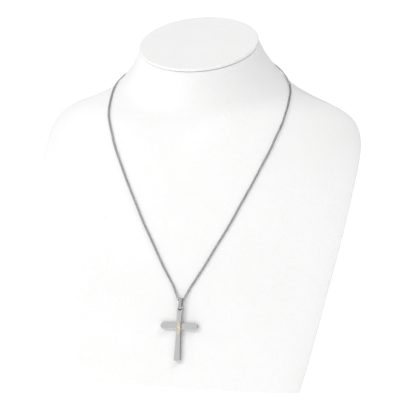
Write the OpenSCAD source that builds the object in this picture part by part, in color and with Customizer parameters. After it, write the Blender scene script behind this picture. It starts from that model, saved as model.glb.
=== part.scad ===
// A steel cross on a fine curb chain, hung round a plain white neck bust.
// The bust stands on the floor and its front faces -Y. All sizes are in millimetres.

/* [Neck bust] */
// Radius of the round neck where it is cut off
neck_r = 46; // [40:0.5:52]
// Height of the middle of that cut above the floor
neck_h = 252; // [249:1:258]
// Forward slope of the cut, in degrees
neck_slope = 22.5; // [20:0.5:24]
// Rounding along the foot of the bust
foot_r = 1.5; // [0.5:0.1:2.5]

/* [Neck cap] */
// Thickness of the disc that closes the neck
cap_t = 2.4; // [1.5:0.1:4]
// Rounding of the disc's two edges
cap_edge_r = 0.6; // [0.2:0.1:0.7]
// Height of the seam between the bust and the disc
seam_h = 0.5; // [0.2:0.1:1]
// Depth of the seam
seam_depth = 0.9; // [0.4:0.1:1.5]

/* [Chain] */
// Width of the curb chain over its links
chain_w = 1.7; // [1.4:0.1:1.8]

/* [Clasp] */
// Length of the clasp over its two eyes
clasp_l = 10; // [8:0.5:12]
// Width of the clasp's body
clasp_w = 3.4; // [3:0.1:4]
// Thickness of the clasp's body
clasp_t = 1.8; // [1.4:0.1:2.2]
// Radius of the tab at each end
clasp_tab_r = 1.3; // [1.2:0.05:1.4]
// Thickness of the tabs
clasp_tab_t = 0.6; // [0.5:0.1:1]
// Radius of the eye through each tab
clasp_eye_r = 0.65; // [0.5:0.05:0.7]

/* [Bail] */
// Width of the strip that the bail is bent from
bail_w = 2.4; // [2:0.1:2.6]
// Thickness of that strip
bail_t = 0.7; // [0.5:0.05:0.8]
// Inner radius round the chain
bail_top_r = 1.35; // [1.2:0.05:1.5]
// Inner radius round the pin of the cross
bail_low_r = 0.75; // [0.7:0.05:0.9]
// Distance between the chain's middle and the pin
bail_reach = 5.2; // [4.5:0.1:6]

/* [Cross] */
// Height of the cross
cross_h = 42.2; // [38:0.2:46]
// Width of the cross over its arms
cross_w = 29; // [24:0.5:32]
// Depth of the crossing below the top of the cross
crossing_drop = 15; // [13.5:0.1:17]
// Thickness of the upright bar
upright_t = 2.8; // [2.4:0.1:3]
// Width of the upright bar at its waist
upright_waist = 4.0; // [3.4:0.1:4.4]
// Width of the upright bar at its foot
upright_foot_w = 5.6; // [4.8:0.1:6.4]
// Width of the upright bar at its top
upright_top_w = 5.1; // [4.9:0.1:6]
// Thickness of the cross bar, which lies lower than the upright
arm_t = 2.1; // [1.6:0.1:2.4]
// Step from the back of the upright bar in to the back of the cross bar
arm_back = 0.15; // [0.1:0.05:0.3]
// Width of the cross bar where it meets the upright
arm_waist = 4.7; // [4:0.1:5.2]
// Width of the cross bar at its tips
arm_tip_w = 5.9; // [5.2:0.1:6.6]
// Rounding of the corners at the foot and at the arm tips
tip_r = 1.8; // [1.4:0.1:2.1]
// Bulge of the bars' ends
tip_bow = 0.4; // [0.1:0.1:0.8]
// Rounding round the front of the upright bar
upright_round = 1.0; // [0.6:0.1:1.1]
// Rounding round the front of the cross bar
arm_round = 0.6; // [0.4:0.1:0.8]
// Radius of the pin across the forked top
pin_r = 0.6; // [0.5:0.05:0.65]
// Depth of the pin below the top of the cross
pin_drop = 1.1; // [0.9:0.1:1.4]
// Depth of the fork's slot below the top of the cross
slot_depth = 3.6; // [3.4:0.1:4]
// Play between the bail and each side of the slot
slot_play = 0.25; // [0.15:0.05:0.35]

/* [Gold accent] */
// Length of the pointed gold plate
accent_l = 11; // [8:0.1:12]
// Width of the gold plate at its middle
accent_w = 3.2; // [2.8:0.1:3.4]
// Distance of the plate's middle below the middle of the cross bar
accent_drop = 1.3; // [0:0.1:2]
// Depth of the plate's seat in the upright bar
seat_depth = 0.3; // [0.2:0.05:0.5]
// Height of the plate above the upright bar
accent_rise = 0.5; // [0.3:0.05:0.8]
// Outer radius of the bezel
bezel_r = 1.3; // [1.15:0.05:1.4]
// Height of the bezel above the plate
bezel_rise = 0.5; // [0.3:0.05:0.7]
// Radius of the stone at its girdle
stone_r = 0.85; // [0.7:0.05:0.95]

/* [Hidden] */

// Small gap that keeps neighbouring pieces apart.
gap = 0.1;
// Smaller gap round the gold plate in its seat and round the stone.
set_gap = 0.05;
// Overlap that makes joined shapes one solid, and cuts run clear.
bite = 0.2;
// Facets of the round shapes, fewer for the pin, the slot and the cap's edges, and the
// stone's facets round its girdle.
round_fn = 64;
small_fn = 32;
stone_fn = 12;

// The neck stands this far behind the origin.
neck_y = 8;

// Sections of the bust, from the foot up. Each one lies in a plane that slopes forward
// by its tilt and meets the neck's upright axis at its height. The front, edge and back
// are distances from that axis in the sloping plane, forward negative. The edge is where
// the section is widest. Front power 1 gives an ellipse, 2 a parabola. Back power 2 gives
// an ellipse, more gives a flat back with round corners.
// [height, tilt, half width, half width at back, front, edge, back, front power, back power]
BUST_SECTIONS = [
    [  1.5,    0,  92.0,  64, -76.0, -67.0, 59.5, 1.3, 4.0],
    [ 20.0,    0,  97.0,  67, -71.0, -62.0, 60.0, 1.3, 4.0],
    [ 44.0,    0, 102.5,  71, -64.3, -55.0, 60.0, 1.4, 4.0],
    [ 69.0,    0, 108.0,  75, -57.4, -47.0, 60.0, 1.4, 4.0],
    [ 94.0,    0, 113.5,  80, -51.2, -38.5, 60.0, 1.5, 4.0],
    [119.0,    0, 118.5,  85, -44.7, -28.5, 60.0, 1.6, 4.0],
    [144.0,    0, 122.5,  90, -38.8, -16.0, 60.0, 1.6, 4.0],
    [164.0,    0, 125.0,  93, -34.7,  -3.0, 60.0, 1.6, 3.8],
    [178.0,  1.5, 125.0,  94, -32.0,   8.0, 59.6, 1.6, 3.5],
    [188.0,    3, 122.0,  93, -29.8,  15.0, 59.2, 1.6, 3.2],
    [196.0,    5, 115.5,  89, -28.4,  19.0, 58.8, 1.6, 3.0],
    [202.5,  7.5, 104.0,  82, -27.8,  20.0, 58.4, 1.6, 2.8],
    [208.0,   10,  87.5,  75, -28.4,  19.0, 57.8, 1.5, 2.6],
    [215.5, 13.5,  71.5,  66, -30.6,  16.0, 56.8, 1.3, 2.3],
    [226.0,   18,  60.5,  59, -35.0,  11.0, 55.0, 1.1, 2.1],
    [239.0, 21.5,  51.5,  51, -41.0,   4.5, 50.5, 1.0, 2.0],
    [neck_h, neck_slope, neck_r, neck_r, -neck_r, 0, neck_r, 1.0, 2.0],
];
// Points round each section, and sections worked out between two rows of the table.
BUST_POINTS = 64;
BUST_STEPS = 3;

// The chain's middle line where it passes through the bail, in the bail's own place:
// [right, towards the chest, up]
CHAIN_AT_BAIL = [
    [0, 0, -0.02], [0.95, 0, 0.13], [1.8, 0.06, 0.6], [2.45, 0.22, 1.35], [3.1, 0.5, 2.85]];
// The rest of its right half, laid on the bust: up the chest, over the shoulder and round
// the back of the neck. The left half is its mirror image.
// [section of the bust, angle round it, height above the bust]
CHAIN_ROUTE = [
    [ 3.20, -86.6, 1.3],
    [ 3.80, -82.0, 1.2],
    [ 4.40, -78.0, 1.2],
    [ 5.00, -74.0, 1.2],
    [ 5.60, -70.5, 1.2],
    [ 6.25, -67.0, 1.2],
    [ 7.10, -63.5, 1.2],
    [ 8.05, -60.5, 1.2],
    [ 9.40, -56.5, 1.2],
    [11.10, -47.5, 1.2],
    [12.40, -30.0, 1.3],
    [13.20,  -6.0, 1.4],
    [13.60,  15.0, 1.4],
    [13.90,  33.0, 1.3],
    [14.05,  49.0, 1.2],
    [14.10,  63.0, 1.2],
    [14.10,  75.0, 1.2],
];
// Pieces of the tube between two rows of the route, and its sides.
CHAIN_STEPS = 2;
CHAIN_SIDES = 8;
// Section of the bust that the clasp lies on, at the middle of the back.
CLASP_SECTION = 14.1;

// Upward direction round which the tube's sides are laid out, and a shift far too small
// to see that gives two equal points of its line a direction.
TUBE_UP = [0, -0.6, 1];
tiny = 0.0001;

// Where the bail turns on the chain, on the middle line of the bust.
BAIL_PLACE = [0, -53, 64.8];
// Lean of the chest under the pendant, and of the cross, which hangs a little steeper.
chest_lean = 15.5;
cross_lean = 14.6;

// Catmull-Rom curve through four rows, for t from 0 to 1 between b and c.
function spline(a, b, c, d, t) =
    0.5 * (2 * b + (c - a) * t + (2 * a - 5 * b + 4 * c - d) * t * t
        + (3 * b - a - 3 * c + d) * t * t * t);
function clamp(i, list) = max(0, min(len(list) - 1, i));
function curve_at(list, i, t) =
    spline(list[clamp(i - 1, list)], list[clamp(i, list)],
           list[clamp(i + 1, list)], list[clamp(i + 2, list)], t);
function smooth(list, steps) = concat(
    [for (i = [0 : len(list) - 2], k = [0 : steps - 1]) curve_at(list, i, k / steps)],
    [list[len(list) - 1]]);

// Side faces between closed rings of n points each, and flat caps on both ends.
function loft_faces(rings, n) = concat(
    [[for (i = [n - 1 : -1 : 0]) i]],
    [for (k = [0 : rings - 2], i = [0 : n - 1])
        [k * n + i, k * n + (i + 1) % n, (k + 1) * n + (i + 1) % n, (k + 1) * n + i]],
    [[for (i = [0 : n - 1]) (rings - 1) * n + i]]);
module loft(rings) {
    n = len(rings[0]);
    polyhedron([for (ring = rings, p = ring) p], loft_faces(len(rings), n), convexity = 6);
}

// A point of the bust on one section, at an angle round it where -90 is the front. It is
// moved in by inset, and up along the section's own normal by lift.
function bust_point(row, a, inset = 0, lift = 0) =
    let (tilt = row[1], w = row[2] - inset, back_w = row[3] - inset,
         front = row[4] + inset, edge = row[5], back = row[6] - inset,
         p = row[7], m = row[8], c = cos(a), s = sin(a), q = pow(abs(s), 2 / m),
         x = s < 0 ? w * c : (w - (w - back_w) * q) * sign(c) * pow(abs(c), 2 / m),
         v = s < 0 ? edge - (edge - front) * pow(-s, p) : edge + (back - edge) * q)
    [x, neck_y + v * cos(tilt) - lift * sin(tilt), row[0] + v * sin(tilt) + lift * cos(tilt)];
function bust_ring(row, inset = 0, lift = 0) =
    [for (i = [0 : BUST_POINTS - 1]) bust_point(row, -360 * i / BUST_POINTS, inset, lift)];

// The same surface at any part of a section, its outward direction, and a point above it.
// The direction is found from two short steps, one round the section and one upward.
step_round = 0.5;
step_up = 0.02;
function on_bust(u, a) = bust_point(curve_at(BUST_SECTIONS, floor(u), u - floor(u)), a);
function unit(v) = v / norm(v);
function bust_out(u, a) =
    unit(cross(on_bust(u, a + step_round) - on_bust(u, a - step_round),
               on_bust(u + step_up, a) - on_bust(u - step_up, a)));
function above_bust(u, a, rise) = on_bust(u, a) + rise * bust_out(u, a);

module bust() {
    rows = smooth(BUST_SECTIONS, BUST_STEPS);
    foot = BUST_SECTIONS[0];
    top = BUST_SECTIONS[len(BUST_SECTIONS) - 1];
    foot_rings = [for (a = [0, 30, 60])
        bust_ring(foot, foot_r * (1 - sin(a)), -foot_r * cos(a))];
    body_rings = [for (row = rows) bust_ring(row)];
    seam_rings = [bust_ring(top, seam_depth / 3, seam_h / 2),
                  bust_ring(top, seam_depth, seam_h / 2),
                  bust_ring(top, seam_depth, seam_h)];
    color("white") loft(concat(foot_rings, body_rings, seam_rings));
}

// Stands its children on the sloping cut of the neck.
module on_neck() {
    translate([0, neck_y, neck_h]) rotate([neck_slope, 0, 0])
        translate([0, 0, seam_h + gap]) children();
}

module neck_cap() {
    color("white") on_neck() rotate_extrude($fn = 2 * round_fn) {
        square([neck_r - cap_edge_r, cap_t]);
        translate([0, cap_edge_r]) square([neck_r, cap_t - 2 * cap_edge_r]);
        for (z = [cap_edge_r, cap_t - cap_edge_r])
            translate([neck_r - cap_edge_r, z]) circle(cap_edge_r, $fn = small_fn);
    }
}

// Stands its children on the back of the neck, flat on the surface and facing out.
clasp_out = bust_out(CLASP_SECTION, 90);
clasp_rise = clasp_t / 2 + 2 * gap;
clasp_place = above_bust(CLASP_SECTION, 90, clasp_rise);
module at_clasp() {
    translate(clasp_place) rotate([atan2(clasp_out[2], clasp_out[1]) - 90, 0, 0]) children();
}

module clasp() {
    eye_x = clasp_l / 2 - clasp_tab_r;
    body_l = clasp_l - 4 * clasp_tab_r;
    color("silver") at_clasp() {
        linear_extrude(clasp_t, center = true) hull() for (side = [-1, 1])
            translate([side * (body_l - clasp_w / 2) / 2, 0]) circle(clasp_w / 2, $fn = round_fn);
        linear_extrude(clasp_tab_t, center = true) difference() {
            union() {
                square([2 * eye_x, 2 * clasp_tab_r], center = true);
                for (side = [-1, 1])
                    translate([side * eye_x, 0]) circle(clasp_tab_r, $fn = round_fn);
            }
            for (side = [-1, 1])
                translate([side * eye_x, 0]) circle(clasp_eye_r, $fn = round_fn);
        }
    }
}

// The chain as a plain round tube, from one end of the clasp round to the other.
function turn(p, lean) =
    [p[0], p[1] * cos(lean) + p[2] * sin(lean), p[2] * cos(lean) - p[1] * sin(lean)];
function mirrored(list) =
    [for (i = [len(list) - 1 : -1 : 0]) [-list[i][0], list[i][1], list[i][2]]];
chain_half = concat(
    [for (p = CHAIN_AT_BAIL) BAIL_PLACE + turn(p, chest_lean)],
    [for (r = smooth(CHAIN_ROUTE, CHAIN_STEPS)) above_bust(r[0], r[1], r[2])],
    [clasp_place + [clasp_l / 2 + gap, 0, 0]]);
chain_line = concat(mirrored(chain_half), [for (i = [1 : len(chain_half) - 1]) chain_half[i]]);
function ring_round(line, i) =
    let (ahead = unit(line[clamp(i + 1, line)] - line[i] + [tiny, 0, 0]),
         behind = unit(line[i] - line[clamp(i - 1, line)] + [tiny, 0, 0]),
         along = unit(i == 0 ? ahead : i == len(line) - 1 ? behind : ahead + behind),
         side = unit(cross(along, TUBE_UP)), up = cross(side, along))
    [for (k = [0 : CHAIN_SIDES - 1]) let (a = 360 * k / CHAIN_SIDES)
        line[i] + chain_w / 2 * (cos(a) * side + sin(a) * up)];
module chain() {
    color("silver") loft([for (i = [0 : len(chain_line) - 1]) ring_round(chain_line, i)]);
}

// Hangs its children at the bail's place, or on the pin, leaning as they lie at rest.
pin_place = BAIL_PLACE + turn([0, 0, -bail_reach], chest_lean);
module at_bail() {
    translate(BAIL_PLACE) rotate([-chest_lean, 0, 0]) children();
}
module on_pin() {
    translate(pin_place) rotate([-cross_lean, 0, 0]) children();
}

// Outline of a loop round two circles, the lower one at the given reach.
module drop_outline(top_r, low_r, reach) {
    hull() {
        circle(top_r, $fn = round_fn);
        translate([0, -reach]) circle(low_r, $fn = round_fn);
    }
}
module bail() {
    color("silver") at_bail() rotate([90, 0, 90])
        linear_extrude(bail_w, center = true) difference() {
            drop_outline(bail_top_r + bail_t, bail_low_r + bail_t, bail_reach);
            drop_outline(bail_top_r, bail_low_r, bail_reach);
        }
}

// A quarter of a bar's outline, from its waist to the middle of its end: a side that
// flares, a round corner and a bowed end that meets it smoothly, all moved in by inset.
FLARE_POINTS = 7;
CORNER_POINTS = 5;
END_POINTS = 2;
flare_power = 1.5;
function bar_quarter(length, waist, tip, corner, inset) =
    let (straight = length - corner - tip_bow, corner_x = tip / 2 - corner,
         apart = (corner_x * corner_x + tip_bow * tip_bow) / (2 * tip_bow),
         turned = atan2(apart - tip_bow, corner_x), end_r = apart + corner)
    concat(
        [for (i = [0 : FLARE_POINTS - 1]) let (t = i / FLARE_POINTS)
            [waist / 2 + (tip - waist) / 2 * pow(t, flare_power) - inset, straight * t]],
        [for (i = [0 : CORNER_POINTS]) let (a = turned * i / CORNER_POINTS)
            [corner_x + (corner - inset) * cos(a), straight + (corner - inset) * sin(a)]],
        [for (i = [1 : END_POINTS]) let (a = turned + (90 - turned) * i / END_POINTS)
            [(end_r - inset) * cos(a), length - end_r + (end_r - inset) * sin(a)]]);
// The whole outline, with one length and tip width upward and another downward.
function bar_outline(up, down, waist, up_tip, down_tip, up_corner, down_corner, inset) =
    let (top = bar_quarter(up, waist, up_tip, up_corner, inset),
         low = bar_quarter(down, waist, down_tip, down_corner, inset),
         n = len(top))
    concat(
        [for (i = [n - 1 : -1 : 1]) [low[i][0], -low[i][1]]],
        top,
        [for (i = [n - 2 : -1 : 0]) [-top[i][0], top[i][1]]],
        [for (i = [1 : n - 2]) [-low[i][0], -low[i][1]]]);
// Depth behind the front face and inset of each ring, round the front edge and then the
// smaller back edge.
back_round = 0.3;
FRONT_ANGLES = [0, 18, 36, 54, 72, 90];
BACK_ANGLES = [0, 45, 90];
function edge_profile(t, r) = concat(
    [for (a = FRONT_ANGLES) [r * (1 - cos(a)), r * (1 - sin(a))]],
    [for (a = BACK_ANGLES) [t - back_round * (1 - sin(a)), back_round * (1 - cos(a))]]);

// The cross hangs from the pin's middle and its front faces -Y.
crossing_z = pin_drop - crossing_drop;
front_y = -upright_t / 2;
top_corner_r = upright_round + 0.3;
module upright_bar() {
    loft([for (e = edge_profile(upright_t, upright_round))
        [for (p = bar_outline(crossing_drop, cross_h - crossing_drop, upright_waist,
                              upright_top_w, upright_foot_w, top_corner_r, tip_r, e[1]))
            [p[0], front_y + e[0], crossing_z + p[1]]]]);
}
module cross_bar() {
    loft([for (e = edge_profile(arm_t, arm_round))
        [for (p = bar_outline(cross_w / 2, cross_w / 2, arm_waist, arm_tip_w, arm_tip_w,
                              tip_r, tip_r, e[1]))
            [-p[1], upright_t / 2 - arm_back - arm_t + e[0], crossing_z + p[0]]]]);
}
module fork_slot() {
    slot_r = bail_w / 2 + slot_play;
    translate([0, 0, pin_drop - slot_depth + slot_r]) rotate([90, 0, 0]) {
        cylinder(h = 2 * upright_t, r = slot_r, center = true, $fn = small_fn);
        translate([0, slot_depth / 2, 0])
            cube([2 * slot_r, slot_depth, 2 * upright_t], center = true);
    }
}
// Pointed oval between two arcs, seen from the front.
module accent_outline(grow) {
    r = (accent_l * accent_l + accent_w * accent_w) / (4 * accent_w);
    intersection_for (side = [-1, 1])
        translate([side * (r - accent_w / 2), 0]) circle(r + grow, $fn = 2 * round_fn);
}
// Turns a shape drawn flat so that it stands at the gold plate's middle, this far out
// from the front of the upright bar.
module on_front(out) {
    translate([0, front_y - out, crossing_z - accent_drop]) rotate([90, 0, 0]) children();
}
// Resized over the arms, so that the width is exact however the ends are rounded.
module cross() {
    color("silver") on_pin() resize([cross_w, 0, 0]) {
        difference() {
            union() {
                upright_bar();
                cross_bar();
            }
            fork_slot();
            on_front(-seat_depth) linear_extrude(seat_depth + bite) accent_outline(set_gap);
        }
        rotate([0, 90, 0])
            cylinder(h = bail_w + 2 * (slot_play + bite), r = pin_r, center = true, $fn = small_fn);
    }
}

// The bezel's lip rises this far above the stone's girdle, which sets the girdle's height
// above the gold plate.
lip_rise = 0.2;
girdle_h = bezel_rise - lip_rise;
// Half of the stone's side view, from its point below up to its flat table. Each corner
// is given in parts of the stone's radius: [from the middle, above the girdle]
STONE_CORNERS = [[0, -0.8], [1, 0], [1, 0.06], [0.56, 0.38], [0, 0.38]];
module stone_profile() {
    polygon(stone_r * STONE_CORNERS);
}
module gold_accent() {
    floor_y = seat_depth - set_gap;
    color("gold") on_pin() difference() {
        union() {
            on_front(-floor_y) linear_extrude(floor_y + accent_rise) accent_outline(0);
            on_front(0) cylinder(h = accent_rise + bezel_rise, r = bezel_r, $fn = round_fn);
        }
        on_front(accent_rise + girdle_h) rotate_extrude($fn = round_fn) intersection() {
            offset(delta = set_gap) stone_profile();
            translate([0, -stone_r]) square(2 * stone_r);
        }
    }
}
module stone() {
    color("lightcyan") on_pin() on_front(accent_rise + girdle_h)
        rotate_extrude($fn = stone_fn) stone_profile();
}

bust();
neck_cap();
chain();
clasp();
bail();
cross();
gold_accent();
stone();
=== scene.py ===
# %% [markdown]
# # A steel cross on a curb chain, shown on a neck bust
#
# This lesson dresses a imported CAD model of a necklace. The CAD model holds the true
# sizes and the places where things turn. Here each piece gets the form and finish that
# the eye expects: separate chain links, softened metal edges, a cut stone, and a bust
# covered in white leatherette.
#
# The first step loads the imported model. Its pieces stay where they are, so nothing has
# to be fitted by eye later on.

import math

import bmesh
import bpy
from mathutils import Matrix, Vector


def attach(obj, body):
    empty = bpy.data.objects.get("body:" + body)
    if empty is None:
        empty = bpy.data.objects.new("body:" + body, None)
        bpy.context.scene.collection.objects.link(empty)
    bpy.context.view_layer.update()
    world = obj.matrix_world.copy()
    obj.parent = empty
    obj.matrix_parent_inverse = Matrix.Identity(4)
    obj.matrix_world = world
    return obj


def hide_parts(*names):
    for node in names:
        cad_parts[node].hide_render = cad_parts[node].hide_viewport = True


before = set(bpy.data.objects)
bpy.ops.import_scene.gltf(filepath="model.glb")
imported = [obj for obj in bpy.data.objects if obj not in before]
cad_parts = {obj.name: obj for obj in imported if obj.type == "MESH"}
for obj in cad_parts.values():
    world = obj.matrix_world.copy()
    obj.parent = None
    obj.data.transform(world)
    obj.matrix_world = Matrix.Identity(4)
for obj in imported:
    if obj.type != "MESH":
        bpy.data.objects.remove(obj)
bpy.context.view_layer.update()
print("CAD pieces:", ", ".join(sorted(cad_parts)))

# %% [markdown]
# ## Working in millimetres
#
# The model's unit is the metre, but jewellery is thought of in millimetres. The scene's
# unit scale could be changed, but then it would no longer agree with the CAD model. So
# every point below is written in millimetres and turned into metres in one place, when a
# mesh is made.
#
# Most pieces are skins over a stack of outlines, here called a loft. Such a skin has
# tidy rows of faces, and a row can be added wherever an edge has to be rounded.

# %% Helpers that make meshes
MM = 0.001


def make_piece(name, points, faces, sharp_angle=40):
    """A mesh from points in millimetres, smooth but for edges sharper than the angle."""
    mesh = bpy.data.meshes.new(name)
    mesh.from_pydata([tuple(Vector(p) * MM) for p in points], [], faces)
    shell = bmesh.new()
    shell.from_mesh(mesh)
    bmesh.ops.recalc_face_normals(shell, faces=shell.faces)
    shell.to_mesh(mesh)
    shell.free()
    mesh.shade_smooth()
    mesh.set_sharp_from_angle(angle=math.radians(sharp_angle))
    piece = bpy.data.objects.new(name, mesh)
    bpy.context.scene.collection.objects.link(piece)
    return piece


def loft(rings, closed=False):
    """Points and faces of a skin over rings of equal length, with flat ends unless closed."""
    n, count = len(rings[0]), len(rings)
    points = [p for ring in rings for p in ring]
    faces = []
    for k in range(count if closed else count - 1):
        here, there = k * n, (k + 1) % count * n
        for i in range(n):
            j = (i + 1) % n
            faces.append((here + i, there + i, there + j, here + j))
    if not closed:
        faces.append(tuple(range(n)))
        faces.append(tuple(count * n - 1 - i for i in range(n)))
    return points, faces


def lathe(profile, sides):
    """Points and faces of a row of (radius, height) turned about Z, with flat ends."""
    turns = [2 * math.pi * k / sides for k in range(sides)]
    return loft([[(r * math.cos(a), r * math.sin(a), z) for a in turns] for r, z in profile])


def place(points, matrix):
    """The points moved by the matrix."""
    return [matrix @ Vector(p) for p in points]


def placed(shape, matrix):
    """A shape's points and faces, with its points moved by the matrix."""
    points, faces = shape
    return place(points, matrix), faces


print("Helpers are ready")

# %% [markdown]
# ## The camera
#
# The photograph was taken a little from the right and from above, with a long lens. A
# long lens flattens the bust, which is why its two shoulders look almost equally large.
# The focal length is given in pixels of the 400 pixel frame, because that is how it was
# worked out, and then turned into the millimetres that the camera asks for.

# %% Set up the camera
CAMERA_AZIMUTH = math.radians(13)
CAMERA_ELEVATION = math.radians(9)
CAMERA_DISTANCE = 1265
CAMERA_TARGET = Vector((0.7, 8, 131.8))
FOCAL_PIXELS = 1622
FRAME_PIXELS = 400
SENSOR_WIDTH = 36

camera = bpy.data.objects.new("camera", bpy.data.cameras.new("camera"))
bpy.context.scene.collection.objects.link(camera)
toward_camera = Vector((math.sin(CAMERA_AZIMUTH) * math.cos(CAMERA_ELEVATION),
                        -math.cos(CAMERA_AZIMUTH) * math.cos(CAMERA_ELEVATION),
                        math.sin(CAMERA_ELEVATION)))
camera.location = (CAMERA_TARGET + toward_camera * CAMERA_DISTANCE) * MM
camera.rotation_euler = (-toward_camera).to_track_quat("-Z", "Y").to_euler()
camera.data.sensor_width = SENSOR_WIDTH
camera.data.lens = SENSOR_WIDTH * FOCAL_PIXELS / FRAME_PIXELS
camera.data.clip_start = 0.01
camera.data.clip_end = 100
bpy.context.scene.camera = camera
print("Lens:", round(camera.data.lens), "mm")

# %% [markdown]
# ## The shape of the bust
#
# A display bust has no face, arms or detail: a leaning chest, a flat back, round
# shoulders and a neck cut off at a slope. It could be sculpted, but a shape this plain
# is easier to steer as a stack of sections, each one a width, a front, a back and a
# roundness. The rows between are filled in by a smooth curve. The chain has to lie on
# this surface, so the same functions also give any point on it and its outward
# direction.
#
# These are the sections of the CAD model. Here they only get more points, so that the
# skin is smooth when the camera comes near.

# %% Describe the bust by its sections
NECK_Y = 8
NECK_R, NECK_H, NECK_SLOPE = 46, 252, 22.5
# height, tilt, half width, half width at back, front, edge, back, front power, back power
SECTIONS = [
    (1.5, 0, 92, 64, -76, -67, 59.5, 1.3, 4),
    (20, 0, 97, 67, -71, -62, 60, 1.3, 4),
    (44, 0, 102.5, 71, -64.3, -55, 60, 1.4, 4),
    (69, 0, 108, 75, -57.4, -47, 60, 1.4, 4),
    (94, 0, 113.5, 80, -51.2, -38.5, 60, 1.5, 4),
    (119, 0, 118.5, 85, -44.7, -28.5, 60, 1.6, 4),
    (144, 0, 122.5, 90, -38.8, -16, 60, 1.6, 4),
    (164, 0, 125, 93, -34.7, -3, 60, 1.6, 3.8),
    (178, 1.5, 125, 94, -32, 8, 59.6, 1.6, 3.5),
    (188, 3, 122, 93, -29.8, 15, 59.2, 1.6, 3.2),
    (196, 5, 115.5, 89, -28.4, 19, 58.8, 1.6, 3),
    (202.5, 7.5, 104, 82, -27.8, 20, 58.4, 1.6, 2.8),
    (208, 10, 87.5, 75, -28.4, 19, 57.8, 1.5, 2.6),
    (215.5, 13.5, 71.5, 66, -30.6, 16, 56.8, 1.3, 2.3),
    (226, 18, 60.5, 59, -35, 11, 55, 1.1, 2.1),
    (239, 21.5, 51.5, 51, -41, 4.5, 50.5, 1, 2),
    (NECK_H, NECK_SLOPE, NECK_R, NECK_R, -NECK_R, 0, NECK_R, 1, 2),
]


def curve_at(rows, u):
    """A smooth curve through the rows of a table, at row number u with its fraction."""
    last = len(rows) - 1
    i = min(max(int(u), 0), last - 1)
    t = u - i
    a, b, c, d = (rows[min(max(k, 0), last)] for k in (i - 1, i, i + 1, i + 2))
    return [0.5 * (2 * q + (r - p) * t + (2 * p - 5 * q + 4 * r - s) * t * t
                   + (3 * q - p - 3 * r + s) * t ** 3)
            for p, q, r, s in zip(a, b, c, d)]


def bust_point(u, degrees, inset=0.0, lift=0.0):
    """A point of section u, at an angle round it where -90 is the front."""
    height, tilt, w, back_w, front, edge, back, p, m = curve_at(SECTIONS, u)
    a, tilt = math.radians(degrees), math.radians(tilt)
    c, s = math.cos(a), math.sin(a)
    if s < 0:
        x = (w - inset) * c
        v = edge - (edge - front - inset) * (-s) ** p
    else:
        q = s ** (2 / m)
        x = (w - inset - (w - back_w) * q) * math.copysign(abs(c) ** (2 / m), c)
        v = edge + (back - inset - edge) * q
    return Vector((x, NECK_Y + v * math.cos(tilt) - lift * math.sin(tilt),
                   height + v * math.sin(tilt) + lift * math.cos(tilt)))


print("Chest at the cross:", [round(c, 1) for c in bust_point(2.2, -90)])

# %% Find the outward direction of the bust
# Short steps from a point, round the bust in degrees and up it in sections.
STEP_ROUND, STEP_UP = 0.5, 0.02


def bust_out(u, degrees):
    """The outward direction of the surface there."""
    around = bust_point(u, degrees + STEP_ROUND) - bust_point(u, degrees - STEP_ROUND)
    upward = bust_point(u + STEP_UP, degrees) - bust_point(u - STEP_UP, degrees)
    return around.cross(upward).normalized()


print("Outward from the chest there:", [round(c, 2) for c in bust_out(2.2, -90)])

# %% [markdown]
# ## The covered bust
#
# The sections become rings, and the rings a skin. Two places need rings of their own.
# Along the foot the covering is folded round a board, so the edge is rounded. At the
# top it is folded over the cut of the neck and tucked under the separate cap, which
# leaves the fine dark seam that the photograph shows round the neck. A bevel modifier
# could round both edges too, but its width would change with the slope of the skin.

# %% Build the bust
RING_POINTS = 192
STEPS_PER_SECTION = 8
FOOT_R = 1.5
TOP_FOLD_R, TOP_FOLD_RISE = 0.6, 0.1
# The core inside the seam is set in by its depth and ends just below the cap.
SEAM_DEPTH, CORE_RISE, CAP_LIFT = 2.5, 0.5, 0.6


def bust_ring(u, inset=0.0, lift=0.0):
    """One ring of the skin, on section u."""
    return [bust_point(u, 360 * i / RING_POINTS, inset, lift) for i in range(RING_POINTS)]


rings = []
for degrees in (0, 15, 30, 45, 60, 75):
    a = math.radians(degrees)
    rings.append(bust_ring(0, FOOT_R * (1 - math.sin(a)), -FOOT_R * math.cos(a)))
top = len(SECTIONS) - 1
for k in range(top * STEPS_PER_SECTION):
    rings.append(bust_ring(k / STEPS_PER_SECTION))
for degrees in (0, 22.5, 45, 67.5, 90):
    a = math.radians(degrees)
    rings.append(bust_ring(top, TOP_FOLD_R * (1 - math.cos(a)),
                           TOP_FOLD_RISE - TOP_FOLD_R * (1 - math.sin(a))))
rings.append(bust_ring(top, SEAM_DEPTH, TOP_FOLD_RISE))
rings.append(bust_ring(top, SEAM_DEPTH, CORE_RISE))
bust = make_piece("covered_bust", *loft(rings), sharp_angle=50)
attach(bust, "display")
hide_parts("bust")
print("Bust:", len(bust.data.polygons), "faces")

# %% [markdown]
# ## The neck cap
#
# The cap is a disc with soft edges. A flattened cylinder would be quicker, but its top
# would be dead flat. So half of the cap's side view is drawn and turned on a lathe, then
# stood on the sloping cut. Its top is very slightly domed, as padding under a covering
# always is, and the dome is what gives it a soft gradient of light.

# %% Build the neck cap
CAP_T, CAP_EDGE_R, CAP_DOME = 2.4, 0.6, 0.35
CAP_SIDES, CAP_EDGE_STEPS, CAP_DOME_RINGS = 192, 9, 24

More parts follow.
